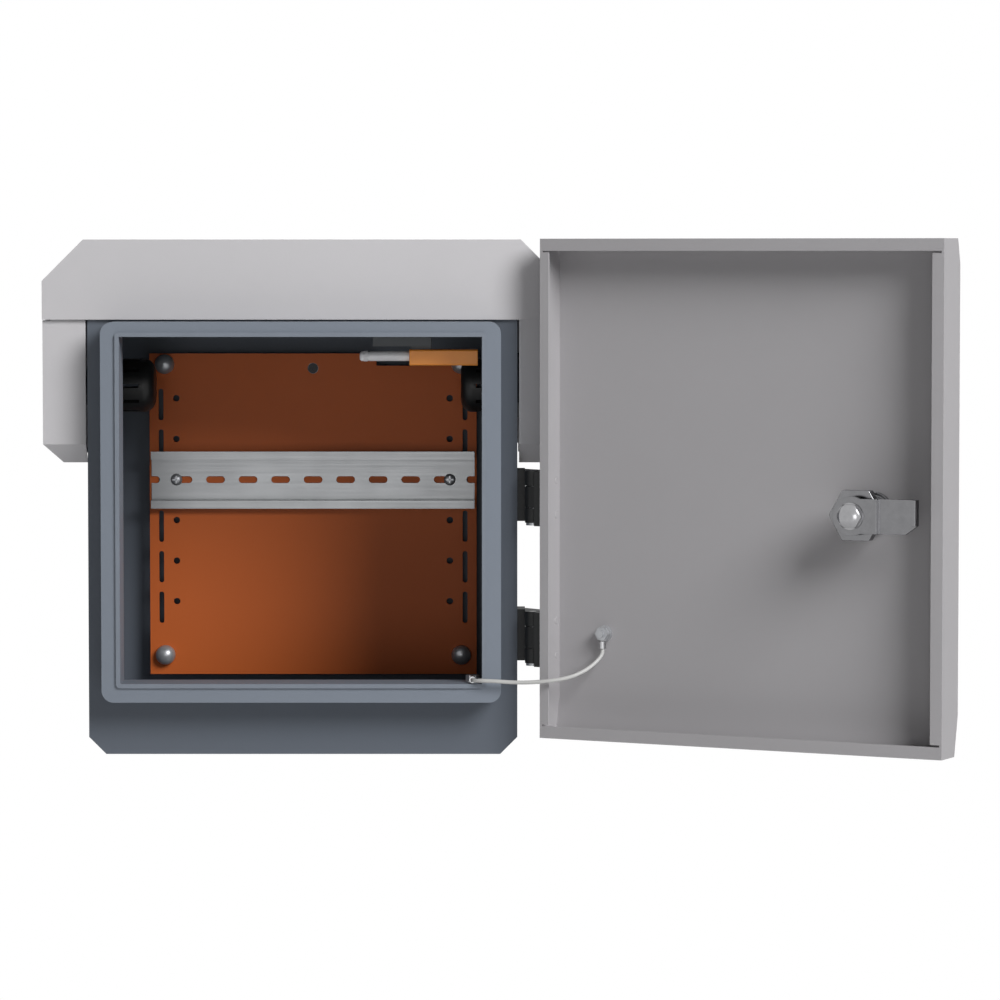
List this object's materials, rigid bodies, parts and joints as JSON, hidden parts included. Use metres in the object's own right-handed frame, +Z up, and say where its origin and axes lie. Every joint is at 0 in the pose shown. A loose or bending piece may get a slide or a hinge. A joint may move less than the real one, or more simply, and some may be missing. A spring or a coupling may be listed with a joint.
{
  "type": "steel wall enclosure",
  "caption": "Wall-mounted sheet-steel control cabinet with a hinged pan door on a cam lock, a rain hood, a mounting plate with a rail, side vents and an earth-bonded door",
  "frame": {"origin": "centre of the four wall holes, on the back face of the cabinet", "axes": "+X to the hinge side, seen from the front; +Y into the wall, so the door is on the -Y side; +Z up"},
  "size_m": [0.5208, 0.3096, 0.3004],
  "materials": {
    "body_paint": "satin blue-grey powder coat",
    "hood_paint": "satin light grey powder coat",
    "door_paint": "satin light grey powder coat",
    "orange_plate": "satin orange-brown powder coat",
    "zinc": "bright zinc plate",
    "rail_steel": "zinc-plated strip steel",
    "dark_steel": "blackened steel",
    "vent_plastic": "moulded black polyamide",
    "hinge_plastic": "moulded black polyamide",
    "probe_orange": "moulded orange plastic",
    "probe_white": "white plastic stem",
    "bracket_grey": "grey coated steel strip",
    "seal_rubber": "grey foam rubber",
    "gland_rubber": "black cellular rubber",
    "tinned_lug": "tinned copper",
    "cable_sleeve": "pale soft sleeve",
    "lock_chrome": "polished zinc casting"
  },
  "bodies": {
    "enclosure": {"body_shell": "body_paint", "rim_frame": "body_paint", "rim_seal": "seal_rubber", "rain_hood": "hood_paint", "hood_screws": "zinc", "left_shroud": "hood_paint", "right_shroud": "hood_paint", "shroud_screws": "zinc", "mounting_plate": "orange_plate", "plate_spacers": "zinc", "plate_bolts": "zinc", "plate_centre_screw": "dark_steel", "din_rail": "rail_steel", "rail_screws": "zinc", "left_vent": "vent_plastic", "right_vent": "vent_plastic", "vent_nuts": "vent_plastic", "probe_body": "probe_orange", "probe_stem": "probe_white", "probe_bracket": "bracket_grey", "probe_bracket_screws": "zinc", "gland_plate": "body_paint", "gland_plate_seal": "gland_rubber", "gland_plate_screws": "zinc", "body_earth_screw": "zinc", "body_earth_lug": "tinned_lug", "earth_cable": "cable_sleeve", "upper_hinge_body_leaf": "hinge_plastic", "lower_hinge_body_leaf": "hinge_plastic", "upper_hinge_pin": "zinc", "lower_hinge_pin": "zinc", "hinge_body_screws": "hinge_plastic"},
    "door": {"door_panel": "door_paint", "upper_hinge_door_leaf": "hinge_plastic", "lower_hinge_door_leaf": "hinge_plastic", "hinge_door_screws": "hinge_plastic", "door_earth_stud": "zinc", "door_earth_lug": "tinned_lug", "lock_housing": "lock_chrome", "lock_escutcheon": "lock_chrome"},
    "lock": {"lock_core": "lock_chrome", "lock_cam": "lock_chrome", "cam_screw": "lock_chrome"}
  },
  "joints": [
    {"name": "door_swing", "type": "hinge", "parent": "enclosure", "child": "door", "pos_m": [0.134, -0.176, 0], "axis": [0, 0, 1], "range_deg": [-152.5, 5.5], "deforming": ["earth_cable"]},
    {"name": "lock_turn", "type": "hinge", "parent": "door", "child": "lock", "pos_m": [0.32471, -0.26119, -0.0032], "axis": [-0.4617, -0.887, 0], "range_deg": [0, 90]}
  ]
}
